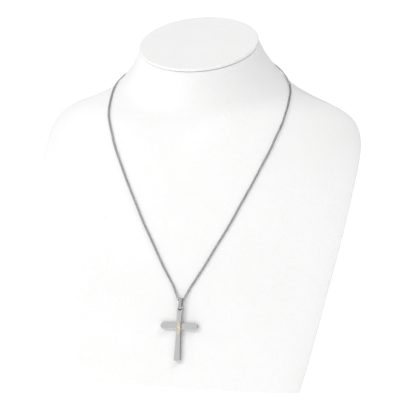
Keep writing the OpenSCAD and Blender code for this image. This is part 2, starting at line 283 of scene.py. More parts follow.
profile = [(NECK_R - CAP_EDGE_R, 0)]
for k in range(1, CAP_EDGE_STEPS):
    a = math.radians(-90 + 180 * k / CAP_EDGE_STEPS)
    rise = CAP_T - CAP_DOME - CAP_EDGE_R if a > 0 else CAP_EDGE_R
    profile.append((NECK_R - CAP_EDGE_R + CAP_EDGE_R * math.cos(a),
                    rise + CAP_EDGE_R * math.sin(a)))
for k in range(CAP_DOME_RINGS):
    r = (NECK_R - CAP_EDGE_R) * (1 - k / CAP_DOME_RINGS)
    profile.append((r, CAP_T - CAP_DOME * (r / NECK_R) ** 2))
neck_cut = (Matrix.Translation((0, NECK_Y, NECK_H))
            @ Matrix.Rotation(math.radians(NECK_SLOPE), 4, "X")
            @ Matrix.Translation((0, 0, CAP_LIFT)))
cap = make_piece("covered_cap", *placed(lathe(profile, CAP_SIDES), neck_cut))
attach(cap, "display")
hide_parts("neck_cap")
print("Cap:", len(cap.data.polygons), "faces")

# %% [markdown]
# ## The route of the chain
#
# The chain hangs from the back of the neck, runs over the shoulders and meets at the
# bail of the cross. A simulation could hang it, but a chain this long and fine is slow
# to settle, and it has to end up where the photograph shows it. So its route is written
# as places on the bust: a section, an angle round it and a height above it. Close to the
# bail the chain leaves the chest, and there the route is given in the bail's own
# directions: right, towards the chest, up. Only the right half is written. The left half
# is its mirror image.

# %% Lay the route of the chain
BAIL_PLACE = Vector((0, -53, 64.8))
CHEST_LEAN = math.radians(15.5)
CHAIN_AT_BAIL = [(0, 0, -0.02), (0.95, 0, 0.13), (1.8, 0.06, 0.6), (2.45, 0.22, 1.35),
                 (3.1, 0.5, 2.85)]
CHAIN_ROUTE = [
    (3.2, -86.6), (3.8, -82), (4.4, -78), (5, -74), (5.6, -70.5), (6.25, -67),
    (7.1, -63.5), (8.05, -60.5), (9.4, -56.5), (11.1, -47.5), (12.4, -30), (13.2, -6),
    (13.6, 15), (13.9, 33), (14.05, 49), (14.1, 63), (14.1, 75),
]
ROUTE_STEPS = 2
LINK_RISE = 0.85
CLASP_SECTION = 14.1
CLASP_T, CLASP_GAP = 1.8, 0.2

chest_frame = Matrix.Rotation(-CHEST_LEAN, 4, "X")
chest_out = chest_frame @ Vector((0, -1, 0))
clasp_out = bust_out(CLASP_SECTION, 90)
clasp_place = bust_point(CLASP_SECTION, 90) + clasp_out * (CLASP_T / 2 + CLASP_GAP)

route = []
for p in CHAIN_AT_BAIL:
    route.append((BAIL_PLACE + chest_frame @ Vector(p), chest_out))
for k in range((len(CHAIN_ROUTE) - 1) * ROUTE_STEPS + 1):
    u, degrees = curve_at(CHAIN_ROUTE, k / ROUTE_STEPS)
    out = bust_out(u, degrees)
    route.append((bust_point(u, degrees) + out * LINK_RISE, out))
print("Route points in the right half:", len(route))

# %% [markdown]
# ## One smooth line through the route
#
# The route's points are joined by a curve that takes the same time over each
# millimetre, so short and long stretches join without a wiggle. A curve object with an
# array modifier could carry the links too, but it would roll them as it liked. Here the
# line is measured, and any place on it, with its outward direction, can be asked for by
# its distance from the bail.

# %% Join the route's points
# The line ends this far beside the middle of the clasp.
CLASP_END_X = 5.92
LINE_STEP = 0.25

mirror = Matrix.Scale(-1, 4, (1, 0, 0))
route.append((clasp_place + Vector((CLASP_END_X, 0, 0)), clasp_out))
whole = [(mirror @ p, mirror @ n) for p, n in reversed(route[1:])] + route


def slopes_at(stations, gaps):
    """The direction of the curve at each station, from its two neighbours."""
    slopes = []
    for i in range(len(stations)):
        ahead = (stations[i + 1][0] - stations[i][0]) / gaps[i] if i < len(gaps) else None
        behind = (stations[i][0] - stations[i - 1][0]) / gaps[i - 1] if i else None
        if ahead is None or behind is None:
            slopes.append(ahead or behind)
        else:
            slopes.append((ahead * gaps[i - 1] + behind * gaps[i]) / (gaps[i] + gaps[i - 1]))
    return slopes


def line_through(stations):
    """Close samples (distance, point, outward direction) along a smooth curve."""
    gaps = [(b[0] - a[0]).length for a, b in zip(stations, stations[1:])]
    slopes = slopes_at(stations, gaps)
    samples, walked, last = [], 0.0, None
    for i, gap in enumerate(gaps):
        steps = max(2, round(gap / LINE_STEP))
        for k in range(steps + (i == len(gaps) - 1)):
            t = k / steps
            p = ((2 * t ** 3 - 3 * t * t + 1) * stations[i][0]
                 + (t ** 3 - 2 * t * t + t) * gap * slopes[i]
                 + (3 * t * t - 2 * t ** 3) * stations[i + 1][0]
                 + (t ** 3 - t * t) * gap * slopes[i + 1])
            out = stations[i][1].lerp(stations[i + 1][1], t).normalized()
            walked += (p - last).length if last is not None else 0.0
            samples.append((walked, p, out))
            last = p
    return samples


line = line_through(whole)
middle = line[-1][0] / 2
print("Chain from bail to clasp:", round(middle, 1), "mm a side")

# %% Ask for a place on the line
def on_line(distance):
    """Point and outward direction at a distance from the bail, right positive."""
    want = min(max(distance + middle, 0.0), line[-1][0])
    low, high = 0, len(line) - 1
    while high - low > 1:
        k = (low + high) // 2
        low, high = (k, high) if line[k][0] <= want else (low, k)
    (s0, p0, n0), (s1, p1, n1) = line[low], line[high]
    t = (want - s0) / (s1 - s0)
    return p0.lerp(p1, t), n0.lerp(n1, t).normalized()


print("Chain in the bail:", [round(c, 2) for c in on_line(0)[0]])

# %% [markdown]
# ## Curb links
#
# A curb chain is made of oval rings, each twisted a quarter turn so that the whole
# chain lies flat, then filed until both faces have small bright flats. A tube with a
# pattern on it would do from far away, but its outline would stay smooth and no light
# would come through it. So every link is modelled. One link is an oval whose two sides
# dip and rise once round, which is the twist. The wire is swept round that oval, and
# what stands above the filing height is pressed down to it.

# %% Shape one link
LINK_PITCH = 1.6
LINK_HALF_WIDTH = 0.9
LINK_TWIST = 0.38
LINK_SLACK = 0.08
# The last link's middle is this far from the end of the line.
LAST_LINK_BACK = 0.78
WIRE_R = 0.235
FILED_TO = 0.46
LINK_STEPS, WIRE_SIDES = 26, 9
# A short step round a ring, in radians, that gives the wire's direction.
STEP_ALONG = 0.01

links_a_side = round((middle - LAST_LINK_BACK) / LINK_PITCH)
pitch = (middle - LAST_LINK_BACK) / links_a_side
link_a = pitch / 2 + WIRE_R + LINK_SLACK
link_b = LINK_HALF_WIDTH - WIRE_R


def link_middle(t):
    """The middle of the link's wire, t from 0 to a full turn."""
    return Vector((link_a * math.cos(t), link_b * math.sin(t), LINK_TWIST * math.sin(2 * t)))


def wire_rings(middle_at, radius, steps, sides):
    """Rings of a round wire swept along a closed curve."""
    rings = []
    for k in range(steps):
        t = 2 * math.pi * k / steps
        along = (middle_at(t + STEP_ALONG) - middle_at(t - STEP_ALONG)).normalized()
        inward = -middle_at(t).normalized()
        across = along.cross(inward).normalized()
        inward = across.cross(along)
        rings.append([middle_at(t) + radius * (math.cos(2 * math.pi * i / sides) * inward
                                               + math.sin(2 * math.pi * i / sides) * across)
                      for i in range(sides)])
    return rings


link_points, link_faces = loft(wire_rings(link_middle, WIRE_R, LINK_STEPS, WIRE_SIDES),
                               closed=True)
link_points = [Vector((p.x, p.y, min(max(p.z, -FILED_TO), FILED_TO))) for p in link_points]
print("Link:", round(2 * (link_a + WIRE_R), 2), "mm long, pitch", round(pitch, 3), "mm")

# %% [markdown]
# At each end the last link holds a small round ring, and the ring goes through the eye
# of the clasp. It stands across the chain, so that the two can pass through each other.

# %% Shape the end rings
RING_R, RING_WIRE_R = 1.08, 0.18
# Each ring's middle is this far beside the middle of the clasp.
RING_X = 5.12
RING_SIDES = 12

ring_points, ring_faces = loft(wire_rings(
    lambda t: Vector((RING_R * math.cos(t), 0, RING_R * math.sin(t))),
    RING_WIRE_R, 2 * LINK_STEPS, RING_SIDES), closed=True)
clasp_frame = (Matrix.Translation(clasp_place)
               @ Matrix.Rotation(math.atan2(clasp_out.z, clasp_out.y) - math.pi / 2, 4, "X"))
print("End ring:", round(2 * (RING_R + RING_WIRE_R), 2), "mm across")

# %% Lay the links and rings along the line
def link_frame(distance):
    """Where a link lies: along the chain, across it, and out of the bust."""
    point, out = on_line(distance)
    along = (on_line(distance + pitch / 2)[0] - on_line(distance - pitch / 2)[0]).normalized()
    across = out.cross(along).normalized()
    out = along.cross(across)
    return Matrix.Translation(point) @ Matrix((along, across, out)).transposed().to_4x4()


points, faces, frames = [], [], []
for k in range(-links_a_side, links_a_side + 1):
    frames.append(link_frame(k * pitch))
    faces += [tuple(len(points) + i for i in f) for f in link_faces]
    points += place(link_points, frames[-1])
for side in (-1, 1):
    spot = clasp_frame @ Matrix.Translation((side * RING_X, 0, 0))
    faces += [tuple(len(points) + i for i in f) for f in ring_faces]
    points += place(ring_points, spot)
chain = make_piece("curb_chain", points, faces, sharp_angle=60)
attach(chain, "display")
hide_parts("chain")
print("Chain:", len(frames), "links")

# %% [markdown]
# The links are real rings that pass through each other. A chain that cuts into itself
# would show in a close view, so the gap between the wires of neighbours is measured.

# %% Measure the gap between neighbouring links
WIRE_CHECKS = 60

loop = [link_middle(2 * math.pi * k / WIRE_CHECKS) for k in range(WIRE_CHECKS)]
closest = math.inf
for one, other in zip(frames, frames[1:]):
    there = place(loop, other)
    closest = min(closest, min((a - b).length for a in place(loop, one) for b in there))
print("Wires apart by", round(closest - 2 * WIRE_R, 3), "mm at least")

# %% [markdown]
# ## Joining and cutting solid metal
#
# The cross, its gold plate and the clasp are each one solid with slots or eyes cut
# through. They could be drawn face by face, but every cut would have to be worked out by
# hand. So their plain bodies are built first, joined and cut with exact booleans, and
# then every edge gets a narrow bevel. Real polished metal has no knife edges, and the
# bevel is what catches a thin line of light. Weighted normals keep the wide faces flat
# next to the bevels.

# %% Helpers for solid metal
BEVEL_SEGMENTS, BEVEL_ANGLE = 3, 35
FLAT_FACE_WEIGHT = 80
ROUND_SIDES = 48


def combine(body, other, operation):
    """Joins or cuts body with other, which is used up."""
    step = body.modifiers.new("combine", "BOOLEAN")
    step.operation, step.solver, step.object = operation, "EXACT", other
    result = bpy.data.meshes.new_from_object(
        body.evaluated_get(bpy.context.evaluated_depsgraph_get()))
    body.modifiers.clear()
    old, body.data = body.data, result
    bpy.data.meshes.remove(old)
    bpy.data.objects.remove(other)


def soften(piece, width):
    """Narrow rounded bevels on the piece's sharp edges, and flat wide faces."""
    bevel = piece.modifiers.new("soft edges", "BEVEL")
    bevel.width, bevel.segments = width * MM, BEVEL_SEGMENTS
    bevel.limit_method, bevel.angle_limit = "ANGLE", math.radians(BEVEL_ANGLE)
    bevel.miter_outer = "MITER_ARC"
    piece.data.shade_smooth()
    flat = piece.modifiers.new("flat faces", "WEIGHTED_NORMAL")
    flat.keep_sharp, flat.weight = False, FLAT_FACE_WEIGHT


print("Metal helpers are ready")

# %% [markdown]
# ## The bail
#
# The bail is a strip of steel bent into a closed drop: wide round the chain, narrow
# round the pin of the cross. It could be cut from a thick drop like the CAD model's. A
# strip with rounded edges, drawn once as a small rounded rectangle and swept round the
# drop, gives clean faces all the way and no bevel to go wrong.

# %% Draw the strip and its bend
BAIL_W, BAIL_T = 2.4, 0.7
BAIL_TOP_R, BAIL_LOW_R, BAIL_REACH = 1.35, 0.75, 5.2
BAIL_EDGE_R = 0.16
TOP_BEND_STEPS, LOW_BEND_STEPS = 36, 24


def rounded_rectangle(half_w, half_h, r, steps=5):
    """Outline of a rectangle with corners of radius r."""
    corners = [(1, 1, 0), (-1, 1, 90), (-1, -1, 180), (1, -1, 270)]
    outline = []
    for sx, sy, start in corners:
        for k in range(steps + 1):
            a = math.radians(start + 90 * k / steps)
            outline.append((sx * (half_w - r) + r * math.cos(a),
                            sy * (half_h - r) + r * math.sin(a)))
    return outline


strip = rounded_rectangle(BAIL_W / 2, BAIL_T / 2, BAIL_EDGE_R)
slant = math.asin((BAIL_TOP_R - BAIL_LOW_R) / BAIL_REACH)
# height of the bend's middle, inner radius and angle of each ring
turns = []
for k in range(TOP_BEND_STEPS + 1):
    turns.append((0, BAIL_TOP_R, slant + (math.pi - 2 * slant) * k / TOP_BEND_STEPS))
for k in range(LOW_BEND_STEPS + 1):
    turns.append((-BAIL_REACH, BAIL_LOW_R,
                  math.pi - slant + (math.pi + 2 * slant) * k / LOW_BEND_STEPS))
print("Rings round the bail:", len(turns))

# %% Build the bail
rings = []
for height, inner_r, a in turns:
    rings.append([(x, (inner_r + BAIL_T / 2 + h) * math.cos(a),
                   height + (inner_r + BAIL_T / 2 + h) * math.sin(a)) for x, h in strip])
at_bail = Matrix.Translation(BAIL_PLACE) @ chest_frame
bail = make_piece("bent_bail", *placed(loft(rings, closed=True), at_bail), sharp_angle=60)
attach(bail, "bail")
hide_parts("bail")
print("Bail:", len(bail.data.polygons), "faces")

# %% [markdown]
# ## The bars of the cross
#
# Both bars flare from a waist to a round-cornered end, and their front edges are
# rounded over like a pillow. A subdivided box could be pulled into that shape, but its
# widths would only come out roughly. Here each bar is a stack of outlines of exact
# width, the outer ones drawn in along a quarter circle.

# %% Describe a flared bar
TIP_BOW = 0.4
FLARE_POWER = 1.5
BACK_ROUND, BACK_STEPS = 0.3, 4


def bar_quarter(length, waist, tip, corner, inset, flare_steps=16, corner_steps=12,
                end_steps=6):
    """From the waist to the middle of the end: flaring side, corner and bowed end."""
    straight, corner_x = length - corner - TIP_BOW, tip / 2 - corner
    apart = (corner_x ** 2 + TIP_BOW ** 2) / (2 * TIP_BOW)
    turned, end_r = math.atan2(apart - TIP_BOW, corner_x), apart + corner
    quarter = []
    for k in range(flare_steps):
        t = k / flare_steps
        quarter.append((waist / 2 + (tip - waist) / 2 * t ** FLARE_POWER - inset, straight * t))
    for k in range(corner_steps + 1):
        a = turned * k / corner_steps
        quarter.append((corner_x + (corner - inset) * math.cos(a),
                        straight + (corner - inset) * math.sin(a)))
    for k in range(1, end_steps + 1):
        a = turned + (math.pi / 2 - turned) * k / end_steps
        quarter.append(((end_r - inset) * math.cos(a),
                        length - end_r + (end_r - inset) * math.sin(a)))
    return quarter


def bar_outline(up, down, waist, up_tip, down_tip, up_corner, down_corner, inset):
    """The whole outline, with one length and tip width upward and another downward."""
    high = bar_quarter(up, waist, up_tip, up_corner, inset)
    low = bar_quarter(down, waist, down_tip, down_corner, inset)
    return ([(x, -z) for x, z in reversed(low[1:])] + high
            + [(-x, z) for x, z in reversed(high[:-1])] + [(-x, -z) for x, z in low[1:-1]])


def edge_profile(thickness, r, steps=8):
    """(depth, inset) pairs round the front edge and then the smaller back edge."""
    front = [math.pi / 2 * k / steps for k in range(steps + 1)]
    back = [math.pi / 2 * k / BACK_STEPS for k in range(BACK_STEPS + 1)]
    return ([(r * (1 - math.cos(a)), r * (1 - math.sin(a))) for a in front]
            + [(thickness - BACK_ROUND * (1 - math.sin(a)), BACK_ROUND * (1 - math.cos(a)))
               for a in back])


print("Outlines in a bar 2 mm thick:", len(edge_profile(2, 0.5)))

# %% [markdown]
# ## The cross
#
# The upright is thicker, so it stands a little above the cross bar. It hangs from the
# pin, and leans a little less than the chest behind it.

# %% Build the two bars and join them
CROSS_H, CROSS_W, CROSSING_DROP = 42.2, 29, 15
UPRIGHT_T, UPRIGHT_WAIST, UPRIGHT_TOP_W, UPRIGHT_FOOT_W = 2.8, 4, 5.1, 5.6
ARM_T, ARM_BACK, ARM_WAIST, ARM_TIP_W = 2.1, 0.15, 4.7, 5.9
TIP_R, TOP_CORNER_R, UPRIGHT_ROUND, ARM_ROUND = 1.8, 1.3, 1, 0.6
PIN_DROP = 1.1
CROSS_LEAN = math.radians(14.6)
CROSSING_Z = PIN_DROP - CROSSING_DROP
FRONT_Y = -UPRIGHT_T / 2

pin_place = at_bail @ Vector((0, 0, -BAIL_REACH))
on_pin = Matrix.Translation(pin_place) @ Matrix.Rotation(-CROSS_LEAN, 4, "X")

rings = []
for depth, inset in edge_profile(UPRIGHT_T, UPRIGHT_ROUND):
    outline = bar_outline(CROSSING_DROP, CROSS_H - CROSSING_DROP, UPRIGHT_WAIST,
                          UPRIGHT_TOP_W, UPRIGHT_FOOT_W, TOP_CORNER_R, TIP_R, inset)
    rings.append([(x, FRONT_Y + depth, CROSSING_Z + z) for x, z in outline])
cross = make_piece("steel_cross", *placed(loft(rings), on_pin))

rings = []
for depth, inset in edge_profile(ARM_T, ARM_ROUND):
    outline = bar_outline(CROSS_W / 2, CROSS_W / 2, ARM_WAIST, ARM_TIP_W, ARM_TIP_W,
                          TIP_R, TIP_R, inset)
    rings.append([(-z, UPRIGHT_T / 2 - ARM_BACK - ARM_T + depth, CROSSING_Z + x)
                  for x, z in outline])
combine(cross, make_piece("cross_bar", *placed(loft(rings), on_pin)), "UNION")
print("Joined bars:", len(cross.data.polygons), "faces")

# %% [markdown]
# The top of the upright is a fork. A slot with a round foot makes room for the bail, and
# a pin goes across it, sunk a little into both sides, for the bail to turn on.

# %% Cut the fork and put in its pin
PIN_R, PIN_SUNK = 0.6, 0.2
SLOT_DEPTH, SLOT_PLAY, SLOT_STEPS = 3.6, 0.25, 24

slot_r = BAIL_W / 2 + SLOT_PLAY
slot_z = PIN_DROP - SLOT_DEPTH + slot_r
slot = [(slot_r, SLOT_DEPTH)]
for k in range(SLOT_STEPS + 1):
    a = math.pi * k / SLOT_STEPS
    slot.append((slot_r * math.cos(a), slot_z - slot_r * math.sin(a)))
slot.append((-slot_r, SLOT_DEPTH))
cut = loft([[(x, y, z) for x, z in slot] for y in (-UPRIGHT_T, UPRIGHT_T)])
combine(cross, make_piece("slot", *placed(cut, on_pin)), "DIFFERENCE")

across_slot = on_pin @ Matrix.Rotation(math.pi / 2, 4, "Y")
pin = lathe([(PIN_R, -slot_r - PIN_SUNK), (PIN_R, slot_r + PIN_SUNK)], ROUND_SIDES)
combine(cross, make_piece("pin", *placed(pin, across_slot)), "UNION")
print("Cross before its seat:", len(cross.data.polygons), "faces")

# %% [markdown]
# ## The gold plate
#
# A long pointed oval of pale gold lies on the crossing, in a shallow seat cut into the
# upright. The oval is where two large circles overlap. It could be cut from a sheet with
# two booleans, but two arcs drawn point by point do the same and leave cleaner faces.

# %% Cut the seat
ACCENT_L, ACCENT_W, ACCENT_DROP = 11, 3.2, 1.3
SEAT_DEPTH, SEAT_CUT_RISE, SET_GAP = 0.3, 3, 0.05
CROSS_BEVEL = 0.1

arc_r = (ACCENT_L ** 2 + ACCENT_W ** 2) / (4 * ACCENT_W)


def pointed_oval(grow, steps=28):
    """Outline of the plate seen from the front, grown outward."""
    r, middle_x = arc_r + grow, arc_r - ACCENT_W / 2
    half = math.acos(middle_x / r)
    right = [(r * math.cos(a) - middle_x, r * math.sin(a))
             for a in (half * (2 * k / steps - 1) for k in range(steps + 1))]
    return right + [(-x, y) for x, y in reversed(right[1:-1])]


on_front = (on_pin @ Matrix.Translation((0, FRONT_Y, CROSSING_Z - ACCENT_DROP))
            @ Matrix.Rotation(math.pi / 2, 4, "X"))
seat = loft([[(x, y, z) for x, y in pointed_oval(SET_GAP)]
             for z in (-SEAT_DEPTH, SEAT_CUT_RISE)])
combine(cross, make_piece("seat", *placed(seat, on_front)), "DIFFERENCE")
soften(cross, CROSS_BEVEL)
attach(cross, "cross")
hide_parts("cross")
print("Cross:", len(cross.data.polygons), "faces before its soft edges")

# %% Build the plate
ACCENT_RISE = 0.5
ACCENT_EDGE_R, ACCENT_EDGE_STEPS = 0.18, 4

layers = [(SET_GAP - SEAT_DEPTH, 0), (ACCENT_RISE - ACCENT_EDGE_R, 0)]
for k in range(1, ACCENT_EDGE_STEPS + 1):
    a = math.pi / 2 * k / ACCENT_EDGE_STEPS
    layers.append((ACCENT_RISE - ACCENT_EDGE_R * (1 - math.sin(a)),
                   -ACCENT_EDGE_R * (1 - math.cos(a))))
sheet = loft([[(x, y, z) for x, y in pointed_oval(grow)] for z, grow in layers])
plate = make_piece("gold_plate", *placed(sheet, on_front))
print("Plate:", len(plate.data.polygons), "faces")

# %% [markdown]
# In the middle of the plate stands a small round bezel, a collar of metal that holds the
# stone. Its hollow is cut with the stone's own side view, a hair larger, so that its lip
# closes over the edge of the stone as a setter's rub-over setting does.

# %% Add the bezel
BEZEL_R, BEZEL_RISE = 1.3, 0.5
BEZEL_EDGE, BEZEL_FOOT = 0.12, 0.1
STONE_R = 0.85
LIP_H = 0.2
GIRDLE_H = ACCENT_RISE + BEZEL_RISE - LIP_H
# Parts of the stone's radius: its depth, its girdle's thickness and the hollow's mouth.
STONE_DEPTH, GIRDLE_T, MOUTH_R, MOUTH_H = 0.8, 0.06, 0.4, 0.6
PLATE_BEVEL = 0.05

collar = [(BEZEL_R, BEZEL_FOOT), (BEZEL_R, ACCENT_RISE + BEZEL_RISE - BEZEL_EDGE),
          (BEZEL_R - BEZEL_EDGE / 3, ACCENT_RISE + BEZEL_RISE - BEZEL_EDGE / 3),
          (BEZEL_R - BEZEL_EDGE, ACCENT_RISE + BEZEL_RISE)]
hollow = [(SET_GAP, GIRDLE_H - STONE_DEPTH * STONE_R - 2 * SET_GAP),
          (STONE_R + SET_GAP, GIRDLE_H - SET_GAP / 2),
          (STONE_R + SET_GAP, GIRDLE_H + GIRDLE_T * STONE_R + SET_GAP / 2),
          (MOUTH_R * STONE_R, GIRDLE_H + MOUTH_H * STONE_R)]
for name, side_view, operation in (("bezel", collar, "UNION"),
                                   ("hollow", hollow, "DIFFERENCE")):
    turned = make_piece(name, *placed(lathe(side_view, ROUND_SIDES), on_front))
    combine(plate, turned, operation)
soften(plate, PLATE_BEVEL)
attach(plate, "cross")
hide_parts("gold_accent")
print("Gold plate:", len(plate.data.polygons), "faces")

# %% [markdown]
# ## The stone
#
# A round brilliant has 57 facets: a table, eight stars, eight kites and sixteen small
# ones above the girdle, and eight long mains and sixteen small ones below. A cone with a
# few sides would glitter a little, but it would not look cut. The points between two
# rows of facets are set so that every kite is flat, which is what makes it flash as one.

# %% Cut the stone
def brilliant(r):
    """Points and flat facets of a round brilliant of girdle radius r, table up."""
    table_r, table_z, girdle_z, deep = 0.56, 0.38, GIRDLE_T, -STONE_DEPTH
    star_r, main_r = 0.78, 0.35
    half = math.radians(22.5)
    star_z = table_z - (star_r * math.cos(half) - table_r) * (table_z - girdle_z) / (1 - table_r)
    main_z = deep * (1 - main_r * math.cos(half))
    rows = [(8, table_r, table_z, 0), (8, star_r, star_z, half), (16, 1, girdle_z, 0),
            (16, 1, 0, 0), (8, main_r, main_z, half), (1, 0, deep, 0)]
    points, first = [], []
    for count, radius, z, start in rows:
        first.append(len(points))
        for k in range(count):
            a = start + 2 * math.pi * k / count
            points.append((r * radius * math.cos(a), r * radius * math.sin(a), r * z))
    table, star, upper, lower, main, point = first
    faces = [tuple(table + k for k in range(8))]
    for k in range(8):
        # The next of the eight, and the girdle's points half a step and a step further.
        after, half_on, full_on = (k + 1) % 8, (2 * k + 1) % 16, (2 * k + 2) % 16
        faces += [(table + k, star + k, table + after),
                  (table + after, star + k, upper + full_on, star + after),
                  (star + k, upper + 2 * k, upper + half_on),
                  (star + k, upper + half_on, upper + full_on),
                  (main + k, lower + half_on, lower + 2 * k),
                  (main + k, lower + full_on, lower + half_on),
                  (point, main + k, lower + full_on, main + after)]
    for k in range(16):
        faces.append((upper + k, lower + k, lower + (k + 1) % 16, upper + (k + 1) % 16))
    return points, faces


in_bezel = on_front @ Matrix.Translation((0, 0, GIRDLE_H))
stone = make_piece("cut_stone", *placed(brilliant(STONE_R), in_bezel), sharp_angle=1)
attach(stone, "cross")
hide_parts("stone")
print("Stone:", len(stone.data.polygons), "facets, 16 of them round its girdle")

# %% [markdown]
# ## The clasp
#
# The photograph hides the clasp, so it is one plain body with an eye at each end,
# lying at the back of the neck. The body is a pillow like the bars of the cross, and
# the two eyes are cut in a thinner tab that runs through it. A working clasp could be
# drawn instead, but its kind would be a guess.

# %% Build the clasp
CLASP_L, CLASP_W = 10, 3.4
CLASP_TAB_R, CLASP_TAB_T = 1.3, 0.6
CLASP_EYE_R, EYE_CUT_RISE, EYE_SIDES = 0.65, 1, 32
CLASP_EDGE_R, CLASP_EDGE_STEPS = 0.5, 8
CLASP_BEVEL = 0.12


def stadium(half_length, r, inset, steps=14):
    """Outline of a bar with round ends, drawn in by inset."""
    outline = []
    for side in (1, -1):
        for k in range(steps + 1):
            a = math.pi * (k / steps - 0.5)
            outline.append((side * (half_length - r + (r - inset) * math.cos(a)),
                            side * (r - inset) * math.sin(a)))
    return outline


body_half = (CLASP_L - 4 * CLASP_TAB_R + CLASP_W / 2) / 2
rings = []
for k in range(-CLASP_EDGE_STEPS, CLASP_EDGE_STEPS + 1):
    a = math.pi / 2 * k / CLASP_EDGE_STEPS
    inset = CLASP_EDGE_R * (1 - math.cos(a))
    height = CLASP_T / 2 - CLASP_EDGE_R + CLASP_EDGE_R * abs(math.sin(a))
    height = math.copysign(height, k) if k else 0
    rings.append([(x, y, height) for x, y in stadium(body_half, CLASP_W / 2, inset)])
clasp = make_piece("clasp_body", *placed(loft(rings), clasp_frame))
bar = loft([[(x, y, z) for x, y in stadium(CLASP_L / 2, CLASP_TAB_R, 0)]
            for z in (-CLASP_TAB_T / 2, CLASP_TAB_T / 2)])
tabs = make_piece("tabs", *placed(bar, clasp_frame))
eye = lathe([(CLASP_EYE_R, -EYE_CUT_RISE), (CLASP_EYE_R, EYE_CUT_RISE)], EYE_SIDES)
for side in (-1, 1):
    spot = clasp_frame @ Matrix.Translation((side * (CLASP_L / 2 - CLASP_TAB_R), 0, 0))
    combine(tabs, make_piece("eye", *placed(eye, spot)), "DIFFERENCE")
combine(clasp, tabs, "UNION")
soften(clasp, CLASP_BEVEL)
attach(clasp, "display")
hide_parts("clasp")
print("Clasp:", len(clasp.data.polygons), "faces")

# %% [markdown]
# ## Building materials from nodes
#
# A material could use a photograph of leather or brushed steel. Patterns worked out by
# nodes stay sharp at any distance and need no unwrapping, so they are used throughout.
# They are laid out in the object's own coordinates, and stay on the surface when the
# piece turns.

# %% Helpers for materials
def new_material(name):
    """A node material with its shader, ready to be wired."""
    material = bpy.data.materials.new(name)
    material.use_nodes = True
    nodes, links = material.node_tree.nodes, material.node_tree.links
    return material, nodes, links, nodes["Principled BSDF"]


def fill(node, values):
    """Sets sockets of a node by name or number."""
    for key, value in values.items():
        node.inputs[key].default_value = value


def add_node(nodes, kind, values=None, **settings):
    """A new node with its settings made and its sockets filled."""
    node = nodes.new(kind)
    for key, value in settings.items():
        setattr(node, key, value)
    fill(node, values or {})
    return node


def join(links, *pairs):
    """Wires each pair of sockets, from the first to the second."""
    for start, end in pairs:
        links.new(start, end)


def wear(piece, material):
    """Gives the piece this one material."""
    piece.data.materials.clear()
    piece.data.materials.append(material)


print("Material helpers are ready")

# %% [markdown]
# ## White leatherette
#
# The bust is covered in a smooth white leatherette. It is never one flat white: the
# grain is a net of tiny cells with creases between them, and the tone shifts faintly
# from place to place. The cells are bent a little by a second noise, because a plain net
# of cells looks like tiles. The grain is a bump less than a tenth of a millimetre deep,
# and it also makes the creases a little less shiny.

# %% Make the leatherette
GRAIN_CELLS = 1200
# The depth a whole cell away from a cell's middle, and how far from it the creases lie.
GRAIN_DEPTH, CREASE_AT = 0.14, 0.6
# The second noise has this many waves to a cell, and shifts it by this part of a cell.
SWAY_WAVES, SWAY_REACH = 0.6, 0.4
WHITE_LOW, WHITE_HIGH = (0.85, 0.85, 0.845, 1), (0.91, 0.91, 0.91, 1)

leatherette, nodes, links, skin = new_material("white leatherette")
fill(skin, {"IOR": 1.45})
where = add_node(nodes, "ShaderNodeTexCoord")
sway = add_node(nodes, "ShaderNodeTexNoise", {"Scale": GRAIN_CELLS * SWAY_WAVES, "Detail": 1})
shift = add_node(nodes, "ShaderNodeVectorMath", {"Scale": SWAY_REACH / GRAIN_CELLS},
                 operation="SCALE")
moved = add_node(nodes, "ShaderNodeVectorMath", operation="ADD")
grain = add_node(nodes, "ShaderNodeTexVoronoi", {"Scale": GRAIN_CELLS, "Smoothness": 0.35},
                 feature="SMOOTH_F1")
tone = add_node(nodes, "ShaderNodeTexNoise", {"Scale": 18, "Detail": 3})
shade = add_node(nodes, "ShaderNodeMix", {6: WHITE_LOW, 7: WHITE_HIGH}, data_type="RGBA")
gloss = add_node(nodes, "ShaderNodeMapRange", {"From Max": CREASE_AT, "To Min": 0.46,
                                               "To Max": 0.64})
bump = add_node(nodes, "ShaderNodeBump", {"Distance": GRAIN_DEPTH * MM}, invert=True)
join(links,
     (where.outputs["Object"], sway.inputs["Vector"]),
     (sway.outputs["Color"], shift.inputs[0]),
     (where.outputs["Object"], moved.inputs[0]),
     (shift.outputs["Vector"], moved.inputs[1]),
     (moved.outputs["Vector"], grain.inputs["Vector"]),
     (where.outputs["Object"], tone.inputs["Vector"]),
     (grain.outputs["Distance"], bump.inputs["Height"]),
     (grain.outputs["Distance"], gloss.inputs["Value"]),
     (gloss.outputs["Result"], skin.inputs["Roughness"]),
     (tone.outputs["Fac"], shade.inputs["Factor"]),
     (shade.outputs[2], skin.inputs["Base Color"]),
     (bump.outputs["Normal"], skin.inputs["Normal"]))
for piece in (bust, cap):
    wear(piece, leatherette)
print("Leatherette cells about", round(1000 / GRAIN_CELLS, 2), "mm")

# %% [markdown]
# ## Steel and gold
#
# All the metal shares one recipe. A metal shows little but what it reflects, so its
# colour is the tint of its reflections and its roughness says how soft they are. Fine
# noise moves the roughness about, as hand polishing does. The cross has a satin finish
# with faint scratches up and down it, and the bail and clasp are brighter. The chain has
# the bright steel's recipe with a darker colour. That colour is painted shade, standing
# for the shade between its fine links.

# %% Make the metals
SCRATCH_DEPTH = 0.01
# Noise seldom leaves this range, so the range is spread over the two roughnesses.
NOISE_LOW, NOISE_HIGH = 0.35, 0.65


